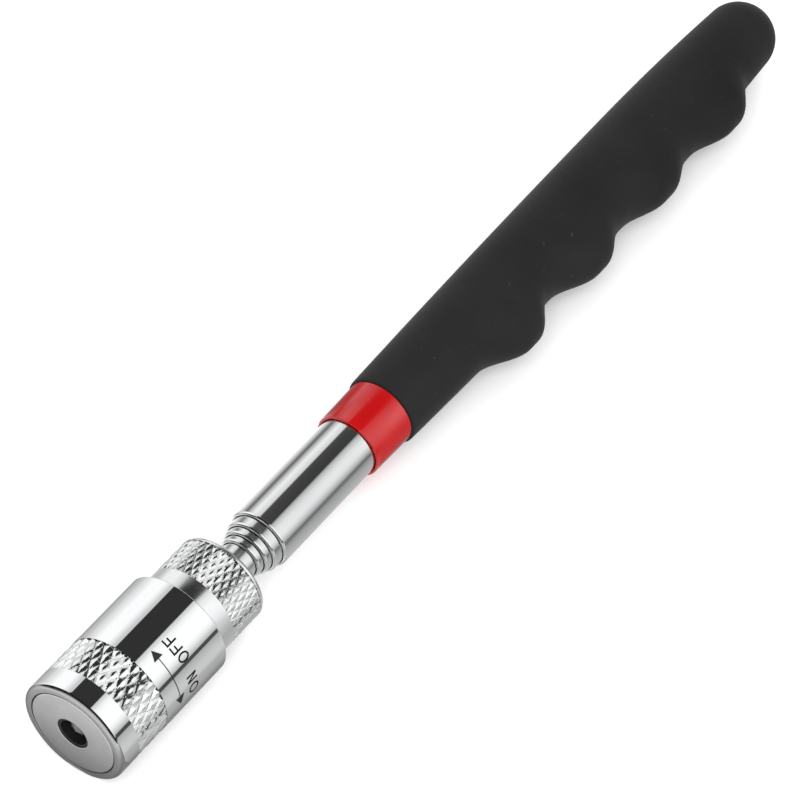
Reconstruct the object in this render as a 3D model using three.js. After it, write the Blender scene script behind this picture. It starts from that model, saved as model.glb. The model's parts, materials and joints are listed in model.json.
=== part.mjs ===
// Telescopic magnetic pick-up tool with a lamp in its magnet, closed.
//
// Every piece is laid out along the tool's own axis. A station is the distance in millimetres from the
// magnet face towards the tail, and a profile is a list of [station, radius] points. The group at the
// end lays that axis along +X, with the finger ridges towards -Y and the head lying on z = 0.

import * as THREE from 'three';

// ---------------------------------------------------------------- driving dimensions

const LENGTH = 190; // closed length, magnet face to tail
const HEAD_R = 9.45; // lamp head
const DISC_R = 7.8; // steel pole plate, seen in the head's face
const LAMP_HOLE_R = 2.85; // hole in the magnet, around the lamp
const CASING_END = 25.6; // rear edge of the head's casing
const COLLAR_R = 8; // tail cap of the head
const COLLAR_END = 37; // rear face of the tail cap

const TUBE_R = 5.4; // outermost tube of the rod
const TUBE_STEP = 0.55; // each section is this much smaller in radius than the one around it
const TUBE_WALL = 0.3;
const SECTIONS = 4; // sliding sections inside the outer tube
const TUBE_MOUTH = 45.9; // front edge of the outer tube
const MOUTH_STEPS = [2, 1.4, 1.3]; // how far each section stands out of the one around it
const BUSH_LENGTH = 14;

const FERRULE_FRONT = 69.4; // red collar, front edge
const GRIP_FRONT = 78.4; // rubber grip, front edge
const GRIP_FRONT_R = 6.5;
const GRIP_BELLY = 152; // station of the grip's greatest plain radius
const GRIP_BELLY_R = 7.4;
const GRIP_TAIL_R = 6.5; // round end of the grip
const RIDGE_REACH = [11.3, 10.95, 10.7, 10.8]; // axis to the crest of each finger ridge
const RIDGES = RIDGE_REACH.length;
const RIDGE_PITCH = 20.3;
const FIRST_VALLEY = 95.8; // where the first finger ridge starts to rise

const CELL_R = 5.8; // LR44 button cell
const CELL_LENGTH = 5.4;
const CELLS = 3;
const FIRST_CELL = 13;

const GAP = 0.3; // between two pieces that rest on each other
const RUNNING = 0.04; // radial clearance where one piece slides in another
const SLACK = 0.1; // around a small piece that is held inside another
const FIT = 0.15; // radial room under a piece that is pushed over another
const THREAD_ROOM = 0.2; // radial room between the casing and the tail cap, where the thread would be
const SIDES = 32; // flats around every turned piece of the outside
const SMALL_SIDES = 24; // flats around the smaller inner pieces
const PIN_SIDES = 16;
const WIRE_SIDES = 8;
const FLAT = Math.cos(Math.PI / SIDES); // a flat's distance from the axis, over its corner's

// ---------------------------------------------------------------- materials

const finish = (color, roughness, metalness) =>
  new THREE.MeshStandardMaterial({ color, roughness, metalness });

const CHROME = finish(0xd9dbde, 0.08, 1);
const POLE_STEEL = finish(0x9a9b9d, 0.3, 1);
const NICKEL = finish(0xb9b6ad, 0.25, 1);
const BRASS = finish(0xc2a04f, 0.3, 1);
const CELL_STEEL = finish(0xc9cacc, 0.3, 1);
const SPRING_STEEL = finish(0x8f9194, 0.35, 1);
const RED = finish(0xc4151b, 0.2, 0);
const RUBBER = finish(0x2d2d2e, 0.75, 0);
const BLACK_PLASTIC = finish(0x141415, 0.5, 0);
const CLEAR = finish(0xe8eef2, 0.05, 0);
const BOARD_GREEN = finish(0x1f5a35, 0.6, 0);
const SLEEVE_WHITE = finish(0xdedbd2, 0.7, 0);

// ---------------------------------------------------------------- shapes

const group = new THREE.Group();

function add(name, geometry, material) {
  const mesh = new THREE.Mesh(geometry, material);
  mesh.name = name;
  group.add(mesh);
}

// A piece turned about the axis. Its profile runs towards the tail on the outside and back on the
// inside, or starts and ends on the axis. Half a side of turn puts flats, not corners, at z = 0.
function turned(profile, sides = SIDES) {
  const points = profile.map(([station, radius]) => new THREE.Vector2(radius, station));
  const geometry = new THREE.LatheGeometry(points, sides, Math.PI / sides);
  return geometry.rotateZ(-Math.PI / 2);
}

function closed(profile) {
  return [...profile, profile[0]];
}

// A plain ring between two stations.
function ring(from, to, inner, outer) {
  return closed([[from, inner], [from, outer], [to, outer], [to, inner]]);
}

// A plain solid disc or rod between two stations.
function disc(from, to, radius) {
  return [[from, 0], [from, radius], [to, radius], [to, 0]];
}

// Points on a quarter circle or less, with angles measured from the direction of the tail.
function arc(station, radius, size, fromDegrees, toDegrees, steps) {
  return Array.from({ length: steps + 1 }, (_, i) => {
    const angle = THREE.MathUtils.degToRad(fromDegrees + ((toDegrees - fromDegrees) * i) / steps);
    return [station + size * Math.cos(angle), radius + size * Math.sin(angle)];
  });
}

// ---------------------------------------------------------------- head

const RIM_ROUND = 0.75; // rounded outer edge of the face
const FACE_POCKET_R = DISC_R + FIT; // the magnet stands in this pocket, with a thin dark line around it
const PLATE = 1.2; // pole plate
const MAGNET_END = 6;
const BACK_PLATE_END = 7.3;
const WEB_FRONT = BACK_PLATE_END + GAP; // wall across the casing, behind the magnet
const WEB_BACK = 9;
const BOARD_R = 7.4;
const BOARD_FRONT = 9.6;
const BOARD_BACK = 10.6;
const CASING_BORE_R = COLLAR_R + THREAD_ROOM;
const BORE_FRONT = 11.2;
const BAND_EDGE = 0.25; // small round at the casing's rear edge

function headCasing() {
  return turned(closed([
    [0, FACE_POCKET_R],
    ...arc(RIM_ROUND, HEAD_R - RIM_ROUND, RIM_ROUND, 180, 90, 3),
    [CASING_END - BAND_EDGE, HEAD_R],
    [CASING_END, HEAD_R - BAND_EDGE],
    [CASING_END, CASING_BORE_R],
    [BORE_FRONT, CASING_BORE_R],
    [BORE_FRONT, BOARD_R + GAP],
    [WEB_BACK, BOARD_R + GAP],
    [WEB_BACK, LAMP_HOLE_R + GAP],
    [WEB_FRONT, LAMP_HOLE_R + GAP],
    [WEB_FRONT, FACE_POCKET_R],
  ]));
}

add('head_casing', headCasing(), CHROME);

// The pole plate's face is the flat that picks things up. Its outer edge is broken by a small round.
const PLATE_EDGE = 0.25;
add('pole_plate', turned(closed([
  [0, LAMP_HOLE_R],
  [0, DISC_R - PLATE_EDGE],
  [PLATE_EDGE, DISC_R],
  [PLATE, DISC_R],
  [PLATE, LAMP_HOLE_R],
])), POLE_STEEL);

// The magnet and the plate behind it stand clear of the sleeve and of the pocket.
function magnetLayer(from, to) {
  return turned(ring(from, to, LAMP_HOLE_R + GAP, DISC_R - GAP));
}

add('ring_magnet', magnetLayer(PLATE + GAP, MAGNET_END), NICKEL);
add('back_plate', magnetLayer(MAGNET_END + GAP, BACK_PLATE_END), POLE_STEEL);

// Lamp: a clear 5 mm lamp stands behind the face in a black sleeve.
const LAMP_R = 2.35;
const LAMP_TIP = 0.9;
const LAMP_FLANGE_R = 2.8;
const LAMP_FLANGE = 7.8;
const LAMP_BASE = 8.8;
const SLEEVE_FRONT = 0.4;
const SLEEVE_R = LAMP_HOLE_R - SLACK;
const LEAD_R = 0.25;
const LEAD_SPREAD = 1.27; // each lead's distance from the axis
const LEAD_END = BOARD_BACK + GAP;

const sleeveProfile = ring(SLEEVE_FRONT, BACK_PLATE_END, LAMP_R + SLACK, SLEEVE_R);
add('led_sleeve', turned(sleeveProfile, SMALL_SIDES), BLACK_PLASTIC);
add('led_lamp', turned([
  [LAMP_TIP, 0],
  ...arc(LAMP_TIP + LAMP_R, 0, LAMP_R, 150, 90, 3),
  [LAMP_FLANGE, LAMP_R],
  [LAMP_FLANGE, LAMP_FLANGE_R],
  [LAMP_BASE, LAMP_FLANGE_R],
  [LAMP_BASE, 0],
], SMALL_SIDES), CLEAR);

function lead(side) {
  const wire = turned(disc(LAMP_BASE + GAP, LEAD_END, LEAD_R), WIRE_SIDES);
  return wire.translate(0, side * LEAD_SPREAD, 0);
}

add('led_lead_anode', lead(1), SPRING_STEEL);
add('led_lead_cathode', lead(-1), SPRING_STEEL);

// Contact board: a round board with two holes for the leads.
const LEAD_HOLE_R = LEAD_R + 2 * SLACK;
const BOARD_CURVE_STEPS = 12;

function contactBoard() {
  const outline = new THREE.Shape().absarc(0, 0, BOARD_R, 0, 2 * Math.PI);
  for (const side of [1, -1]) {
    outline.holes.push(new THREE.Path().absarc(0, side * LEAD_SPREAD, LEAD_HOLE_R, 0, 2 * Math.PI, true));
  }
  const depth = BOARD_BACK - BOARD_FRONT;
  const options = { depth, bevelEnabled: false, curveSegments: BOARD_CURVE_STEPS };
  const board = new THREE.ExtrudeGeometry(outline, options);
  return board.rotateY(Math.PI / 2).translate(BOARD_FRONT, 0, 0);
}

add('contact_board', contactBoard(), BOARD_GREEN);

const RESISTOR = { length: 1.6, width: 0.8, height: 0.5, offset: 4.6 };
add('led_resistor', new THREE.BoxGeometry(RESISTOR.height, RESISTOR.width, RESISTOR.length)
  .translate(BOARD_BACK + GAP + RESISTOR.height / 2, RESISTOR.offset, 0), BLACK_PLASTIC);

// Contact spring: a short open coil between the board and the first cell.
const SPRING_R = 2.3;
const SPRING_WIRE_R = 0.2;
const SPRING_TURNS = 2;
const SPRING_STEPS = 18 * SPRING_TURNS;
const WIRE_CORNERS = 6;
const SPRING_FRONT = BOARD_BACK + GAP + SPRING_WIRE_R;
const SPRING_BACK = FIRST_CELL - GAP - SPRING_WIRE_R;

class Helix extends THREE.Curve {
  getPoint(t, target = new THREE.Vector3()) {
    const angle = 2 * Math.PI * SPRING_TURNS * t;
    const along = THREE.MathUtils.lerp(SPRING_FRONT, SPRING_BACK, t);
    return target.set(along, SPRING_R * Math.cos(angle), SPRING_R * Math.sin(angle));
  }
}

function contactSpring() {
  const wire = new THREE.Shape();
  for (let corner = 0; corner < WIRE_CORNERS; corner += 1) {
    const angle = (2 * Math.PI * corner) / WIRE_CORNERS;
    const place = [SPRING_WIRE_R * Math.cos(angle), SPRING_WIRE_R * Math.sin(angle)];
    if (corner === 0) {
      wire.moveTo(...place);
    } else {
      wire.lineTo(...place);
    }
  }
  const options = { steps: SPRING_STEPS, extrudePath: new Helix(), bevelEnabled: false };
  return new THREE.ExtrudeGeometry(wire, options);
}

add('contact_spring', contactSpring(), SPRING_STEEL);

// ---------------------------------------------------------------- cells

const cellFront = (index) => FIRST_CELL + index * (CELL_LENGTH + GAP);
const CELLS_END = cellFront(CELLS) - GAP;
const CELL_EDGE = 0.5;

function buttonCell(index) {
  const front = cellFront(index);
  const back = front + CELL_LENGTH;
  return turned([
    [front, 0],
    [front, CELL_R - 2 * CELL_EDGE],
    [front + CELL_EDGE, CELL_R - CELL_EDGE],
    [front + 2 * CELL_EDGE, CELL_R],
    [back, CELL_R],
    [back, 0],
  ], SMALL_SIDES);
}

for (let index = 0; index < CELLS; index += 1) {
  add(`button_cell_${index + 1}`, buttonCell(index), CELL_STEEL);
}

const CELL_SLEEVE_R = 6.35;
add('battery_sleeve', turned(ring(FIRST_CELL, CELLS_END, CELL_R + FIT, CELL_SLEEVE_R)), SLEEVE_WHITE);

// ---------------------------------------------------------------- tail cap of the head

const CUP_R = CELL_SLEEVE_R + GAP; // the tail cap is a cup over the cells
const CUP_FRONT = 13.6;
const CUP_FLOOR = 33.4;
const SEAL_FRONT = 21.5; // groove for the seal, just inside the casing's rear edge
const SEAL_BACK = 22.9;
const SEAL_FLOOR_R = 7.2;
const SEAL_WIRE_R = 0.42;
const ROD_SEAT = 35.2; // the rod's front end stands in a counterbore from this station back
const SCREW_R = 1;
const SCREW_HOLE_R = 1.3;
const SCREW_HEAD_R = 2.2;
const SCREW_HEAD = 1;
const SCREW_END = 39.5;
const COLLAR_ROUND = 0.6;

const sectionR = (index) => TUBE_R - index * TUBE_STEP; // index 0 is the outer tube
const boreR = (index) => sectionR(index) - TUBE_WALL;
const ROD_R = sectionR(SECTIONS);

function rearCollar() {
  return turned(closed([
    [CUP_FRONT, CUP_R],
    [CUP_FRONT, COLLAR_R],
    [SEAL_FRONT, COLLAR_R],
    [SEAL_FRONT, SEAL_FLOOR_R],
    [SEAL_BACK, SEAL_FLOOR_R],
    [SEAL_BACK, COLLAR_R],
    ...arc(COLLAR_END - COLLAR_ROUND, COLLAR_R - COLLAR_ROUND, COLLAR_ROUND, 90, 0, 2),
    [COLLAR_END, ROD_R + GAP],
    [ROD_SEAT, ROD_R + GAP],
    [ROD_SEAT, SCREW_HOLE_R],
    [CUP_FLOOR, SCREW_HOLE_R],
    [CUP_FLOOR, CUP_R],
  ]));
}

add('rear_collar', rearCollar(), CHROME);

const SEAL_R = SEAL_FLOOR_R + RUNNING + SEAL_WIRE_R;
const sealSection = arc((SEAL_FRONT + SEAL_BACK) / 2, SEAL_R, SEAL_WIRE_R, 180, -180, 6);
add('o_ring', turned(closed(sealSection.slice(0, -1))), RUBBER);

const SWITCH_GAP = 0.35; // between the last cell and its contact while the lamp is off
const CONTACT_FRONT = CELLS_END + SWITCH_GAP;
const CONTACT_STEP = 0.8; // the contact's small front part
const CONTACT_BACK = CUP_FLOOR - 2 * GAP - SCREW_HEAD;
const CONTACT_R = 2.6;
const CONTACT_FLANGE_R = 5;
add('rear_contact', turned([
  [CONTACT_FRONT, 0],
  [CONTACT_FRONT, CONTACT_R],
  [CONTACT_FRONT + CONTACT_STEP, CONTACT_R],
  [CONTACT_FRONT + CONTACT_STEP, CONTACT_FLANGE_R],
  [CONTACT_BACK, CONTACT_FLANGE_R],
  [CONTACT_BACK, 0],
], SMALL_SIDES), BRASS);

add('neck_screw', turned([
  [CUP_FLOOR - GAP - SCREW_HEAD, 0],
  [CUP_FLOOR - GAP - SCREW_HEAD, SCREW_HEAD_R],
  [CUP_FLOOR - GAP, SCREW_HEAD_R],
  [CUP_FLOOR - GAP, SCREW_R],
  [SCREW_END, SCREW_R],
  [SCREW_END, 0],
], PIN_SIDES), SPRING_STEEL);

const PLUG_FRONT = ROD_SEAT + 2 * GAP;
const PLUG_END = 41;
const plugProfile = ring(PLUG_FRONT, PLUG_END, SCREW_R + 2 * SLACK, boreR(SECTIONS) - SLACK);
add('rod_plug', turned(plugProfile, PIN_SIDES), BRASS);

// ---------------------------------------------------------------- telescopic rod

const NOSE = 0.9; // length of the rounded lip at a tube's mouth
const TUBE_END = 181;
const END_PLUG = 3;
const BASE_FLANGE = 1.2; // flared end behind the bush
const GROOVE = 0.1; // depth of the groove that holds the bush

const mouth = (index) => MOUTH_STEPS.slice(0, index).reduce((at, step) => at - step, TUBE_MOUTH);
const BASE_END = TUBE_END - END_PLUG - GAP; // the sections' rear ends stop together at the end plug
const BUSH_BACK = BASE_END - BASE_FLANGE - SLACK;
const BUSH_FRONT = BUSH_BACK - BUSH_LENGTH;
const lipR = (index) => sectionR(index + 1) / FLAT + RUNNING; // a lip clears the section inside it

// The mouth of a tube: its end is rolled in until it just clears the next section.
function mouthProfile(index) {
  const front = mouth(index);
  const lip = lipR(index);
  const roll = sectionR(index) - lip;
  return [
    [front, lip],
    ...arc(front + roll, lip, roll, 150, 90, 2),
  ];
}

// The base of a sliding section: a groove that holds the bush, then a flared end behind it.
function baseProfile(index) {
  const outer = sectionR(index);
  const grooveFront = BUSH_FRONT - SLACK;
  const flangeFront = BASE_END - BASE_FLANGE;
  const flange = boreR(index - 1) - 3 * RUNNING;
  return [
    [grooveFront, outer],
    [grooveFront, outer - GROOVE],
    [flangeFront, outer - GROOVE],
    [flangeFront, flange],
    [BASE_END, flange],
  ];
}

function outerTube() {
  return turned(closed([
    ...mouthProfile(0),
    [TUBE_END, TUBE_R],
    [TUBE_END, boreR(0)],
    [mouth(0) + NOSE, boreR(0)],
    [mouth(0) + NOSE, lipR(0)],
  ]));
}

function rodSection(index) {
  return turned(closed([
    ...mouthProfile(index),
    ...baseProfile(index),
    [BASE_END, boreR(index)],
    [mouth(index) + NOSE, boreR(index)],
    [mouth(index) + NOSE, lipR(index)],
  ]));
}

// The innermost section has no lip: its plain front end stands in the tail cap of the head.
function innerSection() {
  const front = ROD_SEAT + GAP;
  return turned(closed([
    [front, boreR(SECTIONS)],
    [front, ROD_R],
    ...baseProfile(SECTIONS),
    [BASE_END, boreR(SECTIONS)],
  ]));
}

// A split brass sleeve would rub in the tube around it. It is drawn whole, with running clearance.
function frictionBush(index) {
  const inner = (sectionR(index) - GROOVE) / FLAT + RUNNING / 2;
  return turned(ring(BUSH_FRONT, BUSH_BACK, inner, boreR(index - 1) - RUNNING));
}

add('outer_tube', outerTube(), CHROME);
for (let index = 1; index < SECTIONS; index += 1) {
  add(`rod_section_${index}`, rodSection(index), CHROME);
}
add(`rod_section_${SECTIONS}`, innerSection(), CHROME);
for (let index = 1; index <= SECTIONS; index += 1) {
  add(`friction_bush_${index}`, frictionBush(index), BRASS);
}
const endPlugProfile = disc(TUBE_END - END_PLUG, TUBE_END, boreR(0) - SLACK);
add('end_plug', turned(endPlugProfile, SMALL_SIDES), BLACK_PLASTIC);

// ---------------------------------------------------------------- handle

const FERRULE_FRONT_R = 5.95;
const FERRULE_BACK_R = 6.1;
const FERRULE_END = 84;
const SPIGOT_R = 5.85; // the red collar's rear end stands inside the grip
const FERRULE_EDGE = 0.2;

add('red_collar', turned(closed([
  [FERRULE_FRONT, TUBE_R + FIT],
  [FERRULE_FRONT, FERRULE_FRONT_R - FERRULE_EDGE],
  [FERRULE_FRONT + FERRULE_EDGE, FERRULE_FRONT_R],
  [GRIP_FRONT - GAP, FERRULE_BACK_R],
  [GRIP_FRONT - GAP, SPIGOT_R],
  [FERRULE_END, SPIGOT_R],
  [FERRULE_END, TUBE_R + FIT],
])), RED);

// Rubber grip: a closed-ended sleeve over the outer tube, with four finger ridges on one side.
const GRIP_ROUND_CENTRE = LENGTH - GRIP_TAIL_R;
const RIDGES_END = FIRST_VALLEY + RIDGES * RIDGE_PITCH;
const VALLEY_RISE = [0.15, 0.15, 0.6, 0.65, 0.05]; // each valley floor's height over the plain radius
const RIDGE_STEPS = 6; // stations along one ridge
const RIDGE_SLOPE = 0.45; // share of the pitch that each side of a ridge takes; the crest is level
const VALLEY_BREADTH = 1.3; // above 1 the valleys are broad and the ridges stand steeper

// The grip's plain radius swells from both ends to the belly.
function gripRadius(station) {
  const front = station < GRIP_BELLY;
  const end = front ? GRIP_FRONT : GRIP_ROUND_CENTRE;
  const drop = GRIP_BELLY_R - (front ? GRIP_FRONT_R : GRIP_TAIL_R);
  return GRIP_BELLY_R - drop * ((station - GRIP_BELLY) / (end - GRIP_BELLY)) ** 2;
}

// How far the finger side reaches from the axis: the valley floors, with a ridge between each two.
// In front of the first valley and behind the last, the rise fades out to the grip's two ends.
function fingerReach(station) {
  const plain = gripRadius(station);
  const place = (station - FIRST_VALLEY) / RIDGE_PITCH;
  if (place <= 0) {
    const left = (station - GRIP_FRONT) / (FIRST_VALLEY - GRIP_FRONT);
    return plain + VALLEY_RISE[0] * Math.max(0, left);
  }
  if (place >= RIDGES) {
    const left = (GRIP_ROUND_CENTRE - station) / (GRIP_ROUND_CENTRE - RIDGES_END);
    return plain + VALLEY_RISE[RIDGES] * Math.max(0, left);
  }
  const ridge = Math.floor(place);
  const along = place - ridge;
  const floor = plain + THREE.MathUtils.lerp(VALLEY_RISE[ridge], VALLEY_RISE[ridge + 1], along);
  const climb = Math.min(1, along / RIDGE_SLOPE, (1 - along) / RIDGE_SLOPE);
  const rise = (0.5 - 0.5 * Math.cos(Math.PI * climb)) ** VALLEY_BREADTH;
  return floor + (RIDGE_REACH[ridge] - floor) * rise;
}

function gripStations() {
  const stations = [0, 1, 2].map((step) => GRIP_FRONT + ((FIRST_VALLEY - GRIP_FRONT) * step) / 3);
  for (let step = 0; step <= RIDGES * RIDGE_STEPS; step += 1) {
    stations.push(FIRST_VALLEY + (step * RIDGE_PITCH) / RIDGE_STEPS);
  }
  return [...stations, (RIDGES_END + GRIP_ROUND_CENTRE) / 2];
}

function grip() {
  const bore = TUBE_R + FIT;
  const mouthBore = SPIGOT_R + FIT;
  const geometry = turned([
    [TUBE_END + GAP, 0],
    [TUBE_END + GAP, bore],
    [FERRULE_END + GAP, bore],
    [FERRULE_END + GAP, mouthBore],
    [GRIP_FRONT, mouthBore],
    ...gripStations().map((station) => [station, gripRadius(station)]),
    ...arc(GRIP_ROUND_CENTRE, 0, GRIP_TAIL_R, 90, 0, 6).slice(0, -1),
    [LENGTH, 0],
  ]);
  // the finger side of the turned sleeve is drawn out to its reach
  const corners = geometry.attributes.position;
  for (let i = 0; i < corners.count; i += 1) {
    const [station, y, z] = [corners.getX(i), corners.getY(i), corners.getZ(i)];
    const outside = Math.hypot(y, z) > mouthBore + FIT;
    if (outside && y < 0 && station < GRIP_ROUND_CENTRE) {
      corners.setY(i, (y * fingerReach(station)) / gripRadius(station));
    }
  }
  return geometry;
}

add('grip', grip(), RUBBER);

// ---------------------------------------------------------------- the tool, lying on its side

group.position.set(-LENGTH / 2, ((Math.max(...RIDGE_REACH) - HEAD_R) * FLAT) / 2, HEAD_R * FLAT);

export default group;
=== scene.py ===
import json
import math

import bmesh
import bpy
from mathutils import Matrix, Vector


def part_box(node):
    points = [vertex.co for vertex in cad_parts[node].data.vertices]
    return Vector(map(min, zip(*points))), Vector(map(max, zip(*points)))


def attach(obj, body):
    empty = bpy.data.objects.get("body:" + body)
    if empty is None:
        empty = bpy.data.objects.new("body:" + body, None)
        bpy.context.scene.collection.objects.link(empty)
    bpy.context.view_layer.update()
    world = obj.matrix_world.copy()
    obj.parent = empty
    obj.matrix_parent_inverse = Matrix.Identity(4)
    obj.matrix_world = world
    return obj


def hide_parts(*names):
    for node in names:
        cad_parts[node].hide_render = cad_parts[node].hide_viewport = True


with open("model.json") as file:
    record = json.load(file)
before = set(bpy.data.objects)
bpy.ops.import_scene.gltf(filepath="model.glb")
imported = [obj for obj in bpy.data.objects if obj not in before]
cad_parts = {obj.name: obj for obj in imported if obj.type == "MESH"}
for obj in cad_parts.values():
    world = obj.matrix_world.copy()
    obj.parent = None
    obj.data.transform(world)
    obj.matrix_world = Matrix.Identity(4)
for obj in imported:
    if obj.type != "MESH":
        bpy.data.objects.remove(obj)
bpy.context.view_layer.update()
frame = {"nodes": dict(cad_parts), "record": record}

# Looks of a telescoping magnetic pick-up tool with a lamp in its magnet, closed and lying on its side.
#
# A station is the distance in millimetres from the magnet face towards the tail. Radii are in
# millimetres from the tool's own axis. An angle goes round that axis from straight up (+Z) towards the
# finger side (-Y). A profile is a list of (station, radius) that runs towards the tail on the outside
# and back on the inside, or from axis to axis.

# ---------------------------------------------------------------- driving dimensions

MM = 0.001
casing_low, casing_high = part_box("head_casing")
FACE_X = casing_low.x
AXIS_Y = (casing_low.y + casing_high.y) / 2
AXIS_Z = (casing_low.z + casing_high.z) / 2


def front_of(node):
    """Station of a CAD node's front end."""
    return (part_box(node)[0].x - FACE_X) / MM


def end_of(node):
    """Station of a CAD node's rear end."""
    return (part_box(node)[1].x - FACE_X) / MM


def radius_of(node):
    """Distance from the axis to the flats of a CAD node."""
    low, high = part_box(node)
    return (high.z - low.z) / 2 / MM


GAP = 0.3  # between two pieces that rest on each other
RUNNING = 0.04  # radial clearance where one piece slides in another

HEAD_R = radius_of("head_casing")
CASING_END = end_of("head_casing")
RIM_ROUND = 0.75
DISC_R = 7.8
POCKET_R = DISC_R + 0.13  # leaves a fine line round the disc
LAMP_HOLE_R = 2.85
WEB_FRONT = end_of("back_plate") + GAP  # wall across the casing, behind the magnet
WEB_BACK = 9
BOARD_BORE_R = 7.7
CASING_BORE_R = 8.2
CASING_BORE_FRONT = 11.2

COLLAR_R = 8
COLLAR_FRONT = front_of("rear_collar")
COLLAR_END = end_of("rear_collar")
CELL_BORE_R = 6.6  # the tail cap is a cup over the cells
CELL_FLOOR = 33.4
ROD_SEAT = 35.2
SEAL_FRONT = 21.5  # the groove that the seal lies in
SEAL_BACK = 22.9
SEAL_FLOOR_R = 7.2

SECTIONS = 4
TUBE_R = 5.4
TUBE_STEP = 0.55
TUBE_WALL = 0.3
BUSH_GROOVE = 0.1

FERRULE_FRONT = front_of("red_collar")
FERRULE_END = end_of("red_collar")
FERRULE_FRONT_R = 5.93
FERRULE_BACK_R = 6.1
SPIGOT_R = 5.85  # the part of the ferrule that stands inside the grip
HANDLE_FIT = 0.1
HANDLE_BORE = TUBE_R + HANDLE_FIT
GRIP_FRONT = front_of("grip")
GRIP_END = end_of("grip")
GRIP_FRONT_R = 6.5
GRIP_BELLY = 152
GRIP_BELLY_R = 7.4
GRIP_TAIL_R = 6.5
RIDGE_REACH = [11.3, 10.95, 10.7, 10.8]  # from the axis to the top of each finger ridge
RIDGES = len(RIDGE_REACH)
RIDGE_PITCH = 20.3
FIRST_VALLEY = 95.8
VALLEY_RISE = [0.15, 0.15, 0.6, 0.65, 0.05]  # how far each valley stands above the plain grip
RIDGE_SLOPE = 0.45  # share of the pitch that each side of a ridge takes
VALLEY_BREADTH = 1.3  # 1 gives valleys as broad as the ridges, and more gives broader ones


def spot(station, radius, angle):
    """The point at this station, radius and angle (radians), in metres in the row frame."""
    across = -radius * math.sin(angle) * MM
    up = radius * math.cos(angle) * MM
    return Vector((FACE_X + station * MM, AXIS_Y + across, AXIS_Z + up))


# ---------------------------------------------------------------- mesh helpers

SHARP = math.radians(24)  # edges that turn more than this stay crisp
POLE_MERGE = 1e-8  # metres; a row of no radius becomes one vertex
LEVEL = 1e-7  # metres; corners this close in height are level


def new_object(name, mesh):
    thing = bpy.data.objects.new(name, mesh)
    bpy.context.scene.collection.objects.link(thing)
    return thing


def arc(station, radius, size, start, end, steps):
    """Points on a circle about (station, radius), from one angle to another, in degrees from the tail's
    direction."""
    turns = [math.radians(start + (end - start) * step / steps) for step in range(steps + 1)]
    return [(station + size * math.cos(turn), radius + size * math.sin(turn)) for turn in turns]


def rounded(corners, steps=5, guard=0.04):
    """A closed profile from corners (station, radius, round). An arc takes each corner's place, with a
    guard point on each side so that the flats next to it stay flat when shaded smooth."""
    points = []
    for index, (station, radius, size) in enumerate(corners):
        here = Vector((station, radius))
        if size == 0:
            points.append((station, radius))
            continue
        before = (Vector(corners[index - 1][:2]) - here).normalized()
        after = (Vector(corners[(index + 1) % len(corners)][:2]) - here).normalized()
        half = before.angle(after) / 2
        reach = size / math.tan(half)
        centre = here + (before + after).normalized() * size / math.sin(half)
        first = here + before * reach - centre
        last = here + after * reach - centre
        sweep = math.pi - 2 * half
        points.append(tuple(here + before * (reach + guard)))
        for step in range(steps + 1):
            share = step / steps
            ray = first * math.sin((1 - share) * sweep) + last * math.sin(share * sweep)
            points.append(tuple(centre + ray / math.sin(sweep)))
        points.append(tuple(here + after * (reach + guard)))
    return points


def skin(name, rows, sides, closed=True, shape=None):
    """A mesh through rows (station, radius or radii), one vertex per side, faces pointing out. A closed
    skin joins its last row to its first; an open one ends in a pole at each end. shape(station, place)
    may move a vertex."""
    mesh = bmesh.new()
    grid = []
    for station, radii in rows:
        ring = []
        for side in range(sides):
            radius = radii[side] if isinstance(radii, list) else radii
            place = spot(station, radius, 2 * math.pi * side / sides)
            ring.append(mesh.verts.new(place if shape is None else shape(station, place)))
        grid.append(ring)
    following = grid[1:] + grid[:1] if closed else grid[1:]
    for here, there in zip(grid, following):
        for side in range(sides):
            after = (side + 1) % sides
            split_face(mesh, (here[side], here[after], there[after], there[side]))
    bmesh.ops.remove_doubles(mesh, verts=mesh.verts, dist=POLE_MERGE)
    return finished(name, mesh)


def split_face(mesh, corners):
    """A quad, or two triangles that meet on its more level diagonal where it isn't flat."""
    heights = [math.hypot(c.co.y - AXIS_Y, c.co.z - AXIS_Z) for c in corners]
    first_fall = abs(heights[0] - heights[2])
    second_fall = abs(heights[1] - heights[3])
    front_level = abs(heights[0] - heights[1]) < LEVEL
    back_level = abs(heights[2] - heights[3]) < LEVEL
    if front_level and back_level:
        mesh.faces.new(corners)
    elif first_fall < second_fall:
        mesh.faces.new((corners[0], corners[1], corners[2]))
        mesh.faces.new((corners[0], corners[2], corners[3]))
    else:
        mesh.faces.new((corners[0], corners[1], corners[3]))
        mesh.faces.new((corners[1], corners[2], corners[3]))


def finished(name, mesh):
    """The bmesh as an object, shaded smooth between its sharp edges."""
    data = bpy.data.meshes.new(name)
    mesh.to_mesh(data)
    mesh.free()
    data.shade_smooth()
    data.set_sharp_from_angle(angle=SHARP)
    return new_object(name, data)


def dress(piece, look, slot, body, *replaced):
    """Gives a piece its material, the body it rides on and the CAD nodes it stands for; slot is not
    used.
    """
    piece.data.materials.append(look)
    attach(piece, body)
    if replaced:
        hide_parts(*replaced)
    return piece


# ---------------------------------------------------------------- materials


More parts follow.
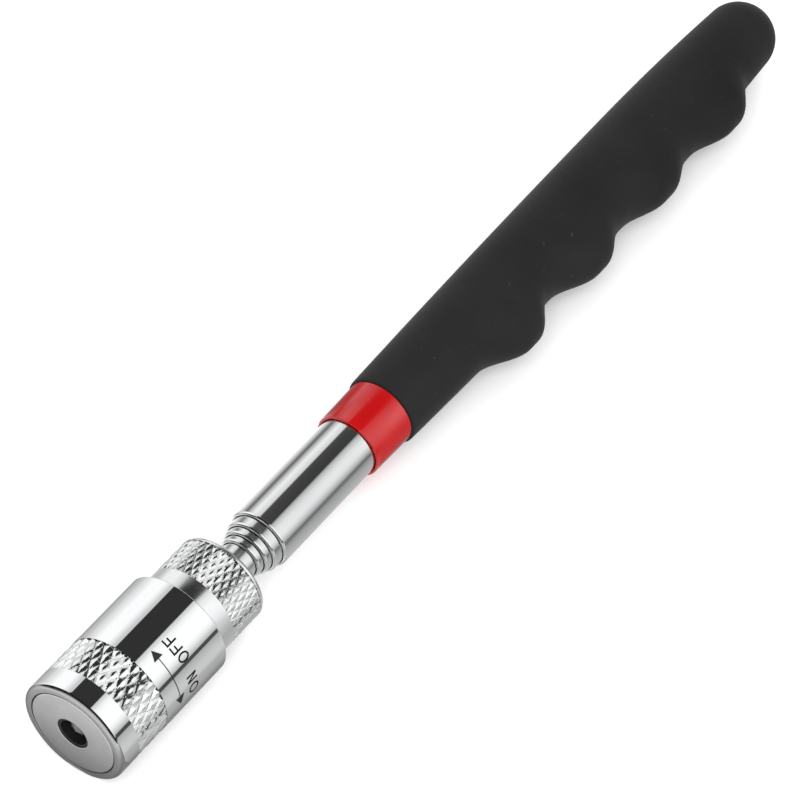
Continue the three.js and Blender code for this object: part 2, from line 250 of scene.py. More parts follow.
class Look:
    """A procedural material on a Principled shader. Its patterns are laid out in the row frame."""

    def __init__(self, name, colour, roughness, metallic=0.0, **sockets):
        self.material = bpy.data.materials.new(name)
        self.material.use_nodes = True
        self.nodes = self.material.node_tree.nodes
        self.links = self.material.node_tree.links
        self.shader = self.nodes["Principled BSDF"]
        self.colour = colour
        self.set("Base Color", (*colour, 1))
        self.set("Roughness", roughness)
        self.set("Metallic", metallic)
        for socket, value in sockets.items():
            self.set(socket.replace("_", " "), value)
        self.place = self.nodes.new("ShaderNodeTexCoord").outputs["Object"]

    def set(self, socket, value):
        self.shader.inputs[socket].default_value = value

    def set_from(self, socket, pattern):
        self.links.new(pattern, self.shader.inputs[socket])

    def along(self):
        """The distance along the row frame's X."""
        split = self.nodes.new("ShaderNodeSeparateXYZ")
        self.links.new(self.place, split.inputs["Vector"])
        return split.outputs["X"]

    def noise(self, size, detail=3, stretch=(1, 1, 1)):
        """Noise with features about size millimetres across, stretched along each axis."""
        mapping = self.nodes.new("ShaderNodeMapping")
        mapping.inputs["Scale"].default_value = [1 / (size * MM * factor) for factor in stretch]
        texture = self.nodes.new("ShaderNodeTexNoise")
        texture.inputs["Scale"].default_value = 1
        texture.inputs["Detail"].default_value = detail
        self.links.new(self.place, mapping.inputs["Vector"])
        self.links.new(mapping.outputs["Vector"], texture.inputs["Vector"])
        return texture.outputs["Fac"]

    def between(self, pattern, low, high, start=0.3, end=0.7):
        """The pattern's values from start to end, spread over low to high."""
        spread = self.nodes.new("ShaderNodeMapRange")
        spread.inputs["From Min"].default_value = start
        spread.inputs["From Max"].default_value = end
        spread.inputs["To Min"].default_value = low
        spread.inputs["To Max"].default_value = high
        self.links.new(pattern, spread.inputs["Value"])
        return spread.outputs["Result"]

    def rough(self, pattern, low, high):
        """Varies the roughness with the pattern."""
        self.set_from("Roughness", self.between(pattern, low, high))
        return self

    def tint(self, pattern, other, start=0.3, end=0.7):
        """Shades the base colour towards another where the pattern is high."""
        mix = self.nodes.new("ShaderNodeMix")
        mix.data_type = "RGBA"
        before = self.shader.inputs["Base Color"]
        if before.is_linked:
            self.links.new(before.links[0].from_socket, mix.inputs["A"])
        else:
            mix.inputs["A"].default_value = (*self.colour, 1)
        mix.inputs["B"].default_value = (*other, 1)
        self.links.new(self.between(pattern, 0, 1, start, end), mix.inputs["Factor"])
        self.links.new(mix.outputs["Result"], before)
        return self

    def bump(self, pattern, height):
        """Raises the surface by up to height millimetres where the pattern is high."""
        node = self.nodes.new("ShaderNodeBump")
        node.inputs["Distance"].default_value = height * MM
        self.links.new(pattern, node.inputs["Height"])
        before = self.shader.inputs["Normal"]
        if before.is_linked:
            self.links.new(before.links[0].from_socket, node.inputs["Normal"])
        self.links.new(node.outputs["Normal"], before)
        return self


def chrome(name, low, high):
    """Bright chrome plate with faint handling smears."""
    look = Look(name, (0.70, 0.705, 0.71), low, 1.0)
    look.rough(look.noise(9, stretch=(3, 1, 1)), low, high)
    look.tint(look.noise(5, stretch=(4, 1, 1)), (0.64, 0.645, 0.65))
    return look.material


def casing_chrome():
    """Bright chrome, left satin on the flat edge round the face."""
    satin = 0.28
    bright = 0.025
    look = Look("chrome_casing", (0.42, 0.42, 0.425), satin, 1.0)
    satin_end = FACE_X + 0.25 * MM
    bright_start = FACE_X + 0.45 * MM
    along = look.along()
    look.tint(along, (0.69, 0.695, 0.70), satin_end, bright_start)
    look.set_from("Roughness", look.between(along, satin, bright, satin_end, bright_start))
    look.bump(look.noise(7, stretch=(3, 1, 1)), 0.001)
    return look.material


def satin_steel():
    """Ground steel, left matt by its fine grain."""
    look = Look("satin_steel", (0.60, 0.60, 0.605), 0.34, 1.0)
    look.rough(look.noise(1.5), 0.3, 0.4)
    look.tint(look.noise(3.5), (0.56, 0.56, 0.565))
    look.bump(look.noise(0.12, detail=2), 0.002)
    return look.material


def metal(name, colour, shade, roughness, grain):
    """A plain metal with a little tarnish and grain."""
    look = Look(name, colour, roughness, 1.0)
    look.rough(look.noise(grain), roughness * 0.8, roughness * 1.25)
    look.tint(look.noise(grain * 3), shade)
    look.bump(look.noise(grain / 3), 0.004)
    return look.material


def plastic(name, colour, shade, roughness, grain, bump, **sockets):
    """Moulded plastic, board or card."""
    look = Look(name, colour, roughness, **sockets)
    look.rough(look.noise(grain * 4), roughness * 0.85, roughness * 1.15)
    look.tint(look.noise(grain * 6), shade)
    look.bump(look.noise(grain), bump)
    return look.material


def ink(name, colour, shade):
    """Matt printing ink."""
    return plastic(name, colour, shade, 0.6, 0.1, 0.001, Specular_IOR_Level=0.15)


def rubber():
    """Soft foam rubber: matt, fine grained and faintly specked, a little paler seen at a slant."""
    look = Look("grip_rubber", (0.008, 0.008, 0.0085), 0.72)
    look.set("Specular IOR Level", 0.3)
    look.set("Sheen Weight", 0.04)
    look.set("Sheen Roughness", 0.4)
    look.tint(look.noise(14), (0.012, 0.012, 0.0125))
    look.tint(look.noise(0.9, detail=1), (0.022, 0.022, 0.023), 0.72, 0.80)
    look.bump(look.noise(0.22, detail=4), 0.035)
    look.bump(look.noise(2.4), 0.05)
    return look.material


def red_gloss():
    """Glossy red plastic, moulded a little wavy."""
    look = Look("red_gloss", (0.385, 0.0015, 0.003), 0.12)
    look.set("Coat Weight", 0.3)
    look.set("Coat Roughness", 0.08)
    look.rough(look.noise(4, stretch=(3, 1, 1)), 0.09, 0.15)
    look.tint(look.noise(6), (0.35, 0.001, 0.002))
    look.bump(look.noise(2.5), 0.006)
    return look.material


def clear_resin():
    """Clear lamp resin."""
    look = Look("clear_resin", (0.93, 0.95, 0.96), 0.03)
    look.set("Transmission Weight", 0.9)
    look.set("IOR", 1.5)
    look.rough(look.noise(1.2), 0.02, 0.07)
    return look.material


CHROME_CASING = casing_chrome()
CHROME_SOFT = chrome("chrome_soft", 0.07, 0.12)
CHROME_TUBE = chrome("chrome_tube", 0.03, 0.06)
CHROME_ROD = chrome("chrome_rod", 0.11, 0.17)
STEEL = satin_steel()
NICKEL = metal("magnet_nickel", (0.55, 0.53, 0.49), (0.45, 0.43, 0.39), 0.25, 1.5)
CELL = metal("cell_steel", (0.62, 0.62, 0.63), (0.52, 0.52, 0.53), 0.28, 1.5)
SPRING = metal("spring_steel", (0.38, 0.39, 0.40), (0.30, 0.31, 0.32), 0.32, 0.6)
BRASS = metal("brass", (0.62, 0.44, 0.14), (0.50, 0.33, 0.10), 0.3, 1.2)
RED = red_gloss()
RUBBER = rubber()
SEAL = plastic("seal_rubber", (0.016, 0.016, 0.016), (0.024, 0.024, 0.024), 0.6, 0.4, 0.01)
BLACK = plastic("black_plastic", (0.007, 0.007, 0.007), (0.011, 0.011, 0.011), 0.5, 0.4, 0.006)
INK = ink("printed_ink", (0.004, 0.004, 0.0045), (0.008, 0.008, 0.0085))
ARROW_INK = ink("arrow_ink", (0.014, 0.014, 0.015), (0.024, 0.024, 0.025))
CLEAR = clear_resin()
BOARD = plastic("board_green", (0.014, 0.095, 0.032), (0.020, 0.130, 0.045), 0.5, 0.3, 0.008)
CARD = plastic("sleeve_card", (0.72, 0.70, 0.64), (0.64, 0.61, 0.54), 0.8, 0.3, 0.012)
PHOSPHOR = plastic("phosphor", (0.62, 0.50, 0.10), (0.52, 0.40, 0.07), 0.6, 0.1, 0.002)

SLOT_LOOKS = {
    "pole_steel": STEEL,
    "magnet_nickel": NICKEL,
    "cell_steel": CELL,
    "spring_steel": SPRING,
    "brass": BRASS,
    "seal_rubber": SEAL,
    "black_plastic": BLACK,
    "board_green": BOARD,
    "sleeve_card": CARD,
}

# ---------------------------------------------------------------- knurling


class Knurl:
    """A band of raised diamonds between two families of helical grooves, with so many pitches along it
    and so many around. Its rows and columns cut each pitch into 2 * FINE steps, so every groove and
    ridge falls on an edge of the mesh."""

    FINE = 4
    ROUNDING = 1.4  # 1 gives flat-sided pyramids, and more gives softer tops
    EDGE = 0.05  # the grooves end in a steep wall this long

    def __init__(self, front, back, pitches, around, depth):
        self.front = front
        self.back = back
        self.steps = round(pitches * 2 * self.FINE)
        self.sides = 2 * self.FINE * around
        self.depth = depth

    def cut(self, row, column):
        """Depth below the plain surface."""
        heights = []
        for lead in (row + column, row - column):
            place = lead / (2 * self.FINE)
            heights.append(2 * abs(place - round(place)))
        return self.depth * (1 - min(heights)) ** self.ROUNDING

    def rows(self, radius):
        """The band's rows (station, radii), cut into a cylinder of this radius."""
        found = []
        for row in range(self.steps + 1):
            station = self.front + (self.back - self.front) * row / self.steps
            found.append((station, [radius - self.cut(row, column) for column in range(self.sides)]))
        return found

    def let_into(self, profile, radius):
        """The profile's rows, with the band on the stretch of its outside that spans it."""
        rows = []
        for here, there in zip(profile, profile[1:] + profile[:1]):
            rows.append(here)
            if here[0] < self.front and there[0] > self.back:
                rows.append((self.front - self.EDGE, radius))
                rows.extend(self.rows(radius))
                rows.append((self.back + self.EDGE, radius))
        return rows


# ---------------------------------------------------------------- head

HEAD_KNURL = Knurl(front=4.2, back=11.0, pitches=2.125, around=33, depth=0.28)
CAP_KNURL = Knurl(front=29.3, back=36.1, pitches=2.625, around=36, depth=0.23)


def lamp_casing():
    """Chromed casing with a rounded rim, a knurled band and a close lip behind."""
    lip_r = COLLAR_R + 0.05  # closes on the tail cap's neck
    lip = 0.9
    profile = rounded([
        (0, POCKET_R, 0.1),
        (0, HEAD_R, RIM_ROUND),
        (CASING_END, HEAD_R, 0.16),
        (CASING_END, lip_r, 0.08),
        (CASING_END - lip, lip_r, 0),
        (CASING_END - lip, CASING_BORE_R, 0),
        (CASING_BORE_FRONT, CASING_BORE_R, 0),
        (CASING_BORE_FRONT, BOARD_BORE_R, 0),
        (WEB_BACK, BOARD_BORE_R, 0),
        (WEB_BACK, LAMP_HOLE_R + GAP, 0),
        (WEB_FRONT, LAMP_HOLE_R + GAP, 0),
        (WEB_FRONT, POCKET_R, 0),
    ])
    piece = skin("lamp_casing", HEAD_KNURL.let_into(profile, HEAD_R), HEAD_KNURL.sides)
    dress(piece, CHROME_CASING, "chrome", "lamp_head", "head_casing")


def magnet_disc():
    """Steel disc in the face, its outer edge and its hole both softly rounded."""
    thickness = end_of("pole_plate")
    profile = rounded([
        (0, LAMP_HOLE_R, 0.14),
        (0, DISC_R, 0.22),
        (thickness, DISC_R, 0.1),
        (thickness, LAMP_HOLE_R, 0.1),
    ])
    dress(skin("magnet_disc", profile, 128), STEEL, "pole_steel", "lamp_head", "pole_plate")


LAMP_R = 2.35
LAMP_TIP = front_of("led_lamp")
LAMP_BASE = end_of("led_lamp")
LAMP_FLANGE = 7.8  # station of its front
LAMP_FLANGE_R = 2.8
CUP_FRONT = 4.4  # the bright cup inside the lamp
CUP_BACK = 6.2
CUP_DEPTH = 0.6


def lamp_sleeve():
    """Black tube that lines the hole in the magnet, set a little back from the face."""
    outer = LAMP_HOLE_R - 0.08
    inner = LAMP_R + 0.1
    front = 0.2
    back = end_of("led_sleeve")
    profile = rounded([
        (front, inner, 0.08),
        (front, outer, 0.08),
        (back, outer, 0.05),
        (back, inner, 0.05),
    ])
    dress(skin("lamp_sleeve", profile, 96), BLACK, "black_plastic", "lamp_head", "led_sleeve")


def lamp_lens():
    """Clear domed lamp on its flange."""
    profile = [
        (LAMP_TIP, 0),
        *arc(LAMP_TIP + LAMP_R, 0, LAMP_R, 176, 90, 18),
        (LAMP_FLANGE, LAMP_R),
        (LAMP_FLANGE, LAMP_FLANGE_R),
        (LAMP_BASE, LAMP_FLANGE_R),
        (LAMP_BASE, 0),
    ]
    dress(skin("lamp_lens", profile, 64, closed=False), CLEAR, "lamp_clear", "lamp_head", "led_lamp")


def lamp_cup():
    """Bright cone-shaped cup that shows through the lens."""
    floor = CUP_FRONT + CUP_DEPTH
    profile = [
        (floor, 0),
        (floor, 0.45),
        (CUP_FRONT, 0.85),
        (CUP_FRONT, 1.0),
        (CUP_BACK, 0.6),
        (CUP_BACK, 0),
    ]
    dress(skin("lamp_cup", profile, 48, closed=False), SPRING, "spring_steel", "lamp_head")


def lamp_die():
    """Yellow die just over the floor of the cup."""
    radius = 0.4
    front = CUP_FRONT + 0.25
    back = CUP_FRONT + CUP_DEPTH - 0.05
    profile = [(front, 0), (front, radius), (back, radius), (back, 0)]
    dress(skin("lamp_die", profile, 24, closed=False), PHOSPHOR, "lamp_clear", "lamp_head")


def tail_cap():
    """Chromed cup behind the casing: a plain neck, a knurled band and a rounded rear edge."""
    rod_hole_r = TUBE_R - SECTIONS * TUBE_STEP + GAP
    screw_hole_r = 1.3
    profile = rounded([
        (COLLAR_FRONT, CELL_BORE_R, 0.1),
        (COLLAR_FRONT, COLLAR_R, 0.15),
        (SEAL_FRONT, COLLAR_R, 0.05),
        (SEAL_FRONT, SEAL_FLOOR_R, 0),
        (SEAL_BACK, SEAL_FLOOR_R, 0),
        (SEAL_BACK, COLLAR_R, 0.05),
        (COLLAR_END, COLLAR_R, 0.6),
        (COLLAR_END, rod_hole_r, 0.12),
        (ROD_SEAT, rod_hole_r, 0),
        (ROD_SEAT, screw_hole_r, 0),
        (CELL_FLOOR, screw_hole_r, 0),
        (CELL_FLOOR, CELL_BORE_R, 0),
    ])
    piece = skin("tail_cap", CAP_KNURL.let_into(profile, COLLAR_R), CAP_KNURL.sides)
    dress(piece, CHROME_SOFT, "chrome", "section_4", "rear_collar")


# ---------------------------------------------------------------- printed marks

MARK_LIFT = 0.015  # the ink stands this far above the chrome
MARK_ROOT = 0.02  # and reaches this far into it
MARK_STEP = 0.35  # longest stretch of a mark that runs straight round the cylinder
MARK_MERGE = 1e-4  # corners this close become one
DEGREE = math.radians(1) * HEAD_R  # millimetres round the casing in one degree


def printed(name, outlines, look):
    """Thin ink solids wrapped on the casing. An outline is a list of polygons, each a list of
    (station, degrees); polygons that share a corner share its vertex."""
    mesh = bmesh.new()
    for polygon in outlines:
        mesh.faces.new([mesh.verts.new((angle * DEGREE, station, 0)) for station, angle in polygon])
    bmesh.ops.remove_doubles(mesh, verts=mesh.verts, dist=MARK_MERGE)
    bmesh.ops.triangulate(mesh, faces=mesh.faces, ngon_method="EAR_CLIP")
    low = min(v.co.x for v in mesh.verts)
    high = max(v.co.x for v in mesh.verts)
    cut = low + MARK_STEP
    while cut < high:
        bmesh.ops.bisect_plane(
            mesh,
            geom=mesh.verts[:] + mesh.edges[:] + mesh.faces[:],
            plane_co=(cut, 0, 0),
            plane_no=(1, 0, 0),
            dist=MARK_MERGE,
        )
        cut += MARK_STEP
    raised = bmesh.ops.extrude_face_region(mesh, geom=mesh.faces[:], use_keep_orig=True)
    for item in raised["geom"]:
        if isinstance(item, bmesh.types.BMVert):
            item.co.z = MARK_LIFT + MARK_ROOT
    for vertex in mesh.verts:
        around, station, height = vertex.co
        vertex.co = spot(station, HEAD_R - MARK_ROOT + height, around / HEAD_R)
    bmesh.ops.recalc_face_normals(mesh, faces=mesh.faces)
    dress(finished(name, mesh), look, "black_plastic", "lamp_head")


LETTER_HEIGHT = 2.15
STROKE = 0.31


def turn(width):
    """Degrees round the casing that a width in millimetres takes."""
    return width / DEGREE


def letter_f(front, stem):
    """F with its stem's outer edge at this angle. It reads towards smaller angles, top to the face."""
    back = front + LETTER_HEIGHT
    arm = stem - turn(1.4)
    short = stem - turn(1.15)
    inner = stem - turn(STROKE)
    middle = front + 0.42 * LETTER_HEIGHT
    return [[
        (front, stem),
        (front, arm),
        (front + STROKE, arm),
        (front + STROKE, inner),
        (middle, inner),
        (middle, short),
        (middle + STROKE, short),
        (middle + STROKE, inner),
        (back, inner),
        (back, stem),
    ]]


def letter_n(front, left, right):
    """N between the outer edges of its two stems, read from left (larger angle) to right."""
    back = front + LETTER_HEIGHT
    diagonal = turn(STROKE * 1.15)
    inner_left = left - turn(STROKE)
    inner_right = right + turn(STROKE)
    return [[
        (back, left),
        (front, left),
        (front, left - diagonal),
        (back - 2 * STROKE, inner_right),
        (front, inner_right),
        (front, right),
        (back, right),
        (back, right + diagonal),
        (front + 2 * STROKE, inner_left),
        (back, inner_left),
    ]]


def letter_o(front, centre, width):
    """O as a ring of quads between two ellipses."""
    steps = 36
    middle = front + LETTER_HEIGHT / 2
    half_height = LETTER_HEIGHT / 2 + 0.03  # round letters stand a little taller

    def at(step, inset):
        angle = 2 * math.pi * step / steps
        along = (half_height - inset) * math.cos(angle)
        across = (width / 2 - inset) * math.sin(angle)
        return (middle + along, centre + turn(across))

    return [
        [at(step, 0), at(step + 1, 0), at(step + 1, STROKE), at(step, STROKE)] for step in range(steps)
    ]


def switch_arrow():
    """Curved two-headed arrow round the casing, from OFF to ON."""
    station = 14.3
    half_line = 0.085
    half_head = 0.98
    off_tip = 26.3
    off_base = 36.5
    on_base = 83.0
    on_tip = 94.0
    outline = [
        (station, off_tip),
        (station - half_head, off_base),
        (station - half_line, off_base),
        (station - half_line, on_base),
        (station - half_head, on_base),
        (station, on_tip),
        (station + half_head, on_base),
        (station + half_line, on_base),
        (station + half_line, off_base),
        (station + half_head, off_base),
    ]
    printed("switch_arrow", [outline], ARROW_INK)


def switch_words():
    """OFF and ON beside the arrow's two heads."""
    off_front = 16.6
    off_drop = 0.15  # the O of OFF stands a little nearer the tail than its Fs
    on_front = 16.45
    outlines = []
    outlines += letter_o(off_front + off_drop, centre=52.6, width=1.6)
    outlines += letter_f(off_front, stem=45.7)
    outlines += letter_f(off_front, stem=35.7)
    outlines += letter_o(on_front, centre=89.2, width=1.9)
    outlines += letter_n(on_front, left=80.1, right=71.9)
    printed("switch_words", outlines, INK)


# ---------------------------------------------------------------- telescopic rod

NOSE = 0.9  # length of the narrow mouth
TUBE_SIDES = 128


def section_r(index):
    """Outside radius of a tube; index 0 is the outer tube."""
    return TUBE_R - index * TUBE_STEP


def lip_r(index):
    """Inside radius of a tube's rolled mouth, which clears the section inside it."""
    return section_r(index + 1) + 3 * RUNNING


def rolled_mouth(index, front):
    """A tube's front end, turned in towards the section inside it."""
    outer = section_r(index)
    lip = lip_r(index)
    roll = outer - lip
    return arc(front + roll, lip, roll, 180, 90, 8) + [(front + roll + RUNNING, outer)]


def flared_end(index, back):
    """A section's rear end: a groove for its bush, then a flare that runs in the tube around it."""
    outer = section_r(index)
    groove_r = outer - BUSH_GROOVE
    groove_front = front_of(f"friction_bush_{index}") - BUSH_GROOVE
    groove_back = end_of(f"friction_bush_{index}") + BUSH_GROOVE
    flare = section_r(index - 1) - TUBE_WALL - 3 * RUNNING
    return [
        (groove_front, outer),
        (groove_front, groove_r),
        (groove_back, groove_r),
        (groove_back, flare),
        (back, flare),
    ]


def tube(index, name, node, body, look):
    """A bright tube. All but the innermost have a rolled mouth; all but the outermost have a flare."""
    outer = section_r(index)
    bore = outer - TUBE_WALL
    front = front_of(node)
    back = end_of(node)
    innermost = index == SECTIONS
    outermost = index == 0
    profile = [(front, bore), (front, outer)] if innermost else rolled_mouth(index, front)
    profile += [(back, outer)] if outermost else flared_end(index, back)
    profile.append((back, bore))
    if not innermost:
        profile += [(front + NOSE, bore), (front + NOSE, lip_r(index))]
    dress(skin(name, profile, TUBE_SIDES), look, "chrome", body, node)


def rod():
    """The outer tube and the sections that slide in it."""
    tube(0, "bright_tube", "outer_tube", "handle", CHROME_TUBE)
    for index in range(1, SECTIONS + 1):
        tube(index, f"bright_section_{index}", f"rod_section_{index}", f"section_{index}", CHROME_ROD)


# ---------------------------------------------------------------- handle


def red_ferrule():
    """Glossy red collar, slightly conical, whose rear end stands inside the grip."""
    shoulder = GRIP_FRONT - HANDLE_FIT
    profile = rounded([
        (FERRULE_FRONT, HANDLE_BORE, 0.1),
        (FERRULE_FRONT, FERRULE_FRONT_R, 0.15),
        (shoulder, FERRULE_BACK_R, 0.1),
        (shoulder, SPIGOT_R, 0),
        (FERRULE_END, SPIGOT_R, 0.1),
        (FERRULE_END, HANDLE_BORE, 0.1),
    ])
    dress(skin("red_ferrule", profile, 128), RED, "red_plastic", "handle", "red_collar")


ROUND_CENTRE = GRIP_END - GRIP_TAIL_R  # the grip ends in half a ball about this station
RIDGES_END = FIRST_VALLEY + RIDGES * RIDGE_PITCH


def grip_radius(station):
    """The grip's plain radius swells from both ends to the belly."""
    end, end_r = (GRIP_FRONT, GRIP_FRONT_R) if station < GRIP_BELLY else (ROUND_CENTRE, GRIP_TAIL_R)
    return GRIP_BELLY_R - (GRIP_BELLY_R - end_r) * ((station - GRIP_BELLY) / (end - GRIP_BELLY)) ** 2


def finger_reach(station):
    """How far the finger side reaches from the axis."""
    plain = grip_radius(station)
    place = (station - FIRST_VALLEY) / RIDGE_PITCH
    if place <= 0:
        left = (station - GRIP_FRONT) / (FIRST_VALLEY - GRIP_FRONT)
        return plain + VALLEY_RISE[0] * max(0, left)
    if place >= RIDGES:
        left = (ROUND_CENTRE - station) / (ROUND_CENTRE - RIDGES_END)
        return plain + VALLEY_RISE[RIDGES] * max(0, left)
    ridge = int(place)
    along = place - ridge
    floor = plain + VALLEY_RISE[ridge] + (VALLEY_RISE[ridge + 1] - VALLEY_RISE[ridge]) * along
    climb = min(1, along / RIDGE_SLOPE, (1 - along) / RIDGE_SLOPE)
    rise = (0.5 - 0.5 * math.cos(math.pi * climb)) ** VALLEY_BREADTH
    return floor + (RIDGE_REACH[ridge] - floor) * rise


def rubber_grip():
    """Rubber sleeve with a closed round end and four finger ridges."""
    mouth_bore = SPIGOT_R + HANDLE_FIT
    bottom = end_of("outer_tube") + GAP
    edge = 0.35
    row_pitch = 0.5
    rows = [
        (bottom, 0),
        (bottom, HANDLE_BORE),
        (FERRULE_END + GAP, HANDLE_BORE),
        (FERRULE_END + GAP, mouth_bore),
        (GRIP_FRONT, mouth_bore),
        *arc(GRIP_FRONT + edge, GRIP_FRONT_R - edge, edge, 180, 90, 6),
    ]
    length = ROUND_CENTRE - GRIP_FRONT - edge
    count = round(length / row_pitch)
    for row in range(1, count):
        station = GRIP_FRONT + edge + length * row / count
        rows.append((station, grip_radius(station)))
    rows += arc(ROUND_CENTRE, 0, GRIP_TAIL_R, 90, 4, 22)
    rows.append((GRIP_END, 0))

    def fingers(station, place):
        """Stretches the outside towards the fingers."""
        across = place.y - AXIS_Y
        up = place.z - AXIS_Z
        outside = math.hypot(across, up) > (mouth_bore + HANDLE_FIT) * MM
        if outside and across < 0 and station < ROUND_CENTRE:
            place.y = AXIS_Y + across * finger_reach(station) / grip_radius(station)
        return place

    piece = skin("rubber_grip", rows, 112, closed=False, shape=fingers)
    dress(piece, RUBBER, "grip_rubber", "handle", "grip")


# ---------------------------------------------------------------- camera

AZIMUTH = math.radians(-54.15)
ELEVATION = math.radians(49.08)
DISTANCE = 0.6563
LENS = 184.5
AIM_STATION = 82.4
AIM_ASIDE = -0.853  # millimetres from the axis along Y
AIM_RISE = -0.340  # and along Z
AIM = Vector((FACE_X + AIM_STATION * MM, AXIS_Y + AIM_ASIDE * MM, AXIS_Z + AIM_RISE * MM))
TOWARDS_CAMERA = Vector((
    math.sin(AZIMUTH) * math.cos(ELEVATION),
    -math.cos(AZIMUTH) * math.cos(ELEVATION),
    math.sin(ELEVATION),
))
CAMERA_PLACE = AIM + TOWARDS_CAMERA * DISTANCE


def photographer():
    """A long lens that looks down on the tool from in front of its head."""
    data = bpy.data.cameras.new("camera")
    data.lens = LENS
    data.sensor_width = 36
    data.clip_start = 0.01
    camera = new_object("camera", data)
    camera.location = CAMERA_PLACE
    camera.rotation_euler = (-TOWARDS_CAMERA).to_track_quat("-Z", "Y").to_euler()
    bpy.context.scene.camera = camera


# ---------------------------------------------------------------- studio

CHROME_REFLECTANCE = 0.68
DISPLAY_GAMMA = 2.2
PANEL_DISTANCE = 0.1  # metres from a surface to the panels that it mirrors, seen along the axis
PANEL_FLOOR = 0.0003  # the panels end just over the floor
ENDLESS = 1.5  # metres that the outer panels run on along the axis
# In front of the tool the panels are dark for a stretch, which draws the black lines at lips and rims.
DARK_END = FACE_X - 5 * MM  # the end nearer the tool
DARK_LENGTH = 0.12
DARK_SHADE = 15
FAR_SHADE = 85

# How bright a turned surface looks round its girth: (angle, percent of white), in degrees as above.
CASING_SHADES = [
    (-66, 85), (-58, 83), (-53, 56), (-49, 60), (-44, 69), (-36, 79), (-28, 89), (-21, 98), (-10, 98),
    (-6, 89), (-3, 79), (-0.6, 77), (0.0, 20), (22.6, 20), (23.4, 78), (26, 86), (28, 94), (33, 99),
    (46, 99), (50, 93), (54, 80), (56.8, 70), (57.4, 29), (60.6, 29), (61.4, 64), (66, 71), (74, 77),
    (79, 76), (83, 67), (90, 63), (96, 57), (101, 48), (116, 46),
]
CAP_SHADES = [
    (-66, 90), (-58, 89), (-52, 74), (-46, 71), (-36, 71), (-30, 81), (-24, 94), (-12, 95), (-8, 89),
    (-4, 84), (-1, 72), (1, 55), (5, 42), (10, 30), (18, 28), (22, 36), (24, 58), (26, 84), (31, 93),
    (38, 98), (46, 99), (54, 94), (60, 87), (66, 77), (74, 69), (80, 65), (96, 67), (116, 67),
]
TUBE_SHADES = [
    (-66, 96), (-54, 94), (-46, 87), (-38, 75), (-33, 63), (-30, 51), (-28, 43), (-26, 42), (-24, 50),
    (-20, 69), (-16, 80), (-12, 91), (-8, 91), (-4, 86), (0.4, 83), (2.4, 58), (3.2, 29), (10, 26),
    (24.2, 24), (25.2, 52), (28, 73), (32, 81), (37, 89), (44, 92), (50, 91), (54, 85), (58, 76),
    (62, 65), (65, 49), (67, 40), (70, 50), (75, 60), (84, 65), (96, 67), (116, 66),
]
FERRULE_SHADES = [
    (-66, 52), (-60, 53), (-52, 50), (-46, 41), (-40, 38), (-34, 37), (-30, 42), (-26, 67), (-22, 88),
    (-18, 84), (-12, 80), (-4, 68), (2, 55), (5, 40), (8, 22), (18, 15), (22, 20), (26, 44), (30, 70),
    (36, 88), (42, 105), (48, 110), (54, 96), (58, 84), (64, 65), (70, 53), (76, 48), (84, 46), (96, 42),
    (104, 50), (116, 58),
]
GRIP_SHADES = [(-66, 85), (-30, 78), (0, 62), (15, 50), (60, 50), (80, 55), (96, 62), (116, 66)]
# How bright the card is that the face mirrors: (millimetres in front of the face, percent of white).
FACE_SHADES = [(-5, 45), (1, 50), (4, 60), (9, 76), (15, 88), (31, 97), (501, 97)]


def light_of(percent):
    """Radiance whose mirror image in chrome shows at this percent of white."""
    return (percent / 100) ** DISPLAY_GAMMA / CHROME_REFLECTANCE


def stage_mesh(name, corners, faces, look):
    """A sheet that isn't part of the object."""
    data = bpy.data.meshes.new(name)
    data.from_pydata([tuple(corner) for corner in corners], [], faces)
    data.materials.append(look)
    sheet = new_object(name, data)
    return sheet


def glow_look():
    """Light of the strength that each corner of a panel carries."""
    material = bpy.data.materials.new("panel_glow")
    material.use_nodes = True
    nodes = material.node_tree.nodes
    links = material.node_tree.links
    nodes.clear()
    level = nodes.new("ShaderNodeAttribute")
    level.attribute_name = "glow"
    light = nodes.new("ShaderNodeEmission")
    output = nodes.new("ShaderNodeOutputMaterial")
    links.new(level.outputs["Fac"], light.inputs["Strength"])
    links.new(light.outputs["Emission"], output.inputs["Surface"])
    return material


def panel(name, rows, look):
    """A strip through rows (left corner, right corner, percent of white), seen only in reflections."""
    corners = []
    lights = []
    for left, right, percent in rows:
        corners += [left, right]
        lights += [light_of(percent)] * 2
    faces = [(2 * row, 2 * row + 1, 2 * row + 3, 2 * row + 2) for row in range(len(rows) - 1)]
    sheet = stage_mesh(name, corners, faces, look)
    sheet.data.attributes.new("glow", "FLOAT", "POINT").data.foreach_set("value", lights)
    sheet.visible_camera = False
    sheet.visible_diffuse = False
    sheet.visible_shadow = False
    sheet.visible_transmission = False


def mirrored(station, radius, degrees):
    """Where the camera's ray lands once a turned surface reflects it: at the panels' distance, or just
    over the floor if that is nearer."""
    angle = math.radians(degrees)
    place = spot(station, radius, angle)
    normal = Vector((0, -math.sin(angle), math.cos(angle)))
    ray = (place - CAMERA_PLACE).normalized().reflect(normal)
    travel = PANEL_DISTANCE / math.hypot(ray.y, ray.z)
    if ray.z < 0:
        travel = min(travel, (PANEL_FLOOR - place.z) / ray.z)
    return place + ray * travel


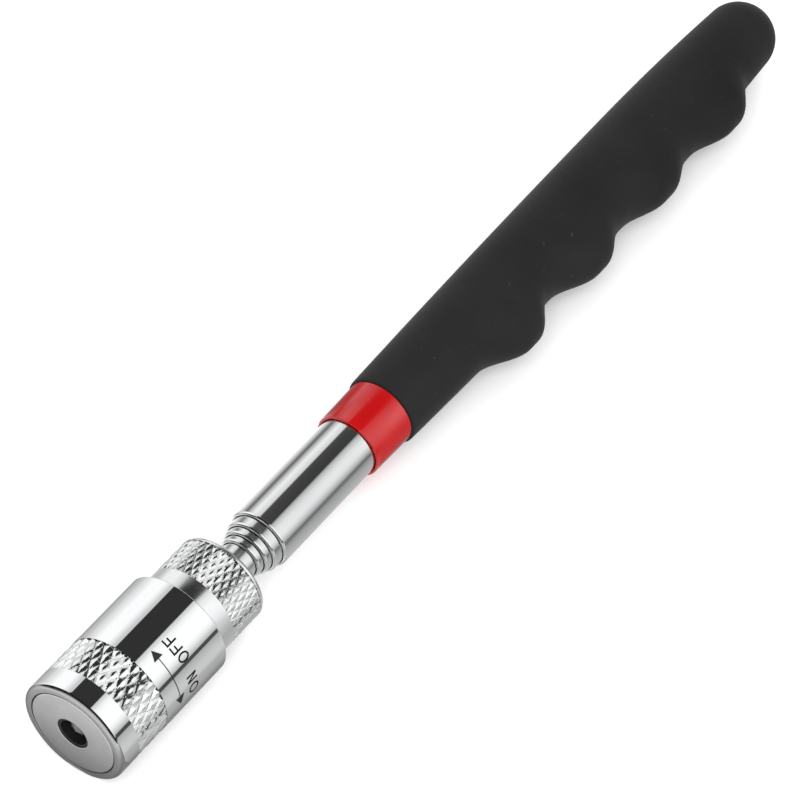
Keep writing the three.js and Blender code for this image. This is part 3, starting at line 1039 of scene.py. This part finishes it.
def girth_panel(name, front, back, radius, shades, look):
    """The panel that gives these shades to a turned surface between two stations."""
    lefts = [mirrored(front, radius, degrees) for degrees, percent in shades]
    rights = [mirrored(back, radius, degrees) for degrees, percent in shades]
    if front <= 0:
        for left in lefts:
            left.x = DARK_END
    if back >= GRIP_END:
        for right in rights:
            right.x += ENDLESS
    percents = [percent for degrees, percent in shades]
    panel(name, list(zip(lefts, rights, percents)), look)
    if front <= 0:
        dark = Vector((DARK_LENGTH, 0, 0))
        ahead = Vector((ENDLESS, 0, 0))
        panel(name + "_dark", [(left - dark, left, DARK_SHADE) for left in lefts], look)
        panel(name + "_far", [(left - ahead, left - dark, FAR_SHADE) for left in lefts], look)


def pale_floor():
    """Plain floor, wide enough to fill the picture."""
    look = plastic("pale_floor", (0.94, 0.94, 0.94), (0.93, 0.93, 0.93), 0.9, 40, 0.01)
    wide = 4.0
    corners = [(-wide, -wide, 0), (wide, -wide, 0), (wide, wide, 0), (-wide, wide, 0)]
    stage_mesh("floor", corners, [(0, 1, 2, 3)], look)


def face_panel(look):
    """The panel that the face mirrors: a card just over the floor panels, ahead of the tool."""
    half_width = 0.3
    height = 3 * PANEL_FLOOR
    rows = []
    for ahead, percent in FACE_SHADES:
        x = FACE_X - ahead * MM
        rows.append((Vector((x, -half_width, height)), Vector((x, half_width, height)), percent))
    panel("face_panel", rows, look)


def panels():
    """One panel for each stretch of the tool, and one for its face."""
    look = glow_look()
    tube_front = COLLAR_END + 1
    ferrule_r = 6.0
    girth_panel("casing_panel", 0, CASING_END, HEAD_R, CASING_SHADES, look)
    girth_panel("cap_panel", CASING_END, tube_front, COLLAR_R, CAP_SHADES, look)
    girth_panel("tube_panel", tube_front, FERRULE_FRONT, TUBE_R, TUBE_SHADES, look)
    girth_panel("ferrule_panel", FERRULE_FRONT, GRIP_FRONT, ferrule_r, FERRULE_SHADES, look)
    girth_panel("grip_panel", GRIP_FRONT, GRIP_END, GRIP_BELLY_R, GRIP_SHADES, look)
    face_panel(look)


def soft_light():
    """White light from all round, and a large soft lamp on the camera's side."""
    world = bpy.data.worlds.new("soft_white")
    bpy.context.scene.world = world
    world.use_nodes = True
    background = world.node_tree.nodes["Background"]
    background.inputs["Color"].default_value = (1, 1, 1, 1)
    background.inputs["Strength"].default_value = 1.1

    light = bpy.data.lights.new("key", "AREA")
    light.energy = 13
    light.size = 0.9
    key = new_object("key", light)
    key.location = (-0.65, -0.6, 1.0)
    key.rotation_euler = (-key.location).to_track_quat("-Z", "Y").to_euler()
    key.visible_camera = False
    key.visible_glossy = False


def studio():
    """Pale floor in soft white light, with shaded panels that draw the stripes in the chrome."""
    pale_floor()
    panels()
    soft_light()
    bpy.context.scene.view_settings.view_transform = "Standard"


# ---------------------------------------------------------------- the whole tool

lamp_casing()
magnet_disc()
lamp_sleeve()
lamp_lens()
lamp_cup()
lamp_die()
tail_cap()
switch_arrow()
switch_words()
rod()
red_ferrule()
rubber_grip()

slots = {part["node"]: part["material_slot"] for part in frame["record"]["subparts"]}
for node, thing in frame["nodes"].items():
    if not thing.hide_render:
        thing.data.materials.clear()
        thing.data.materials.append(SLOT_LOOKS[slots[node]])

studio()
photographer()
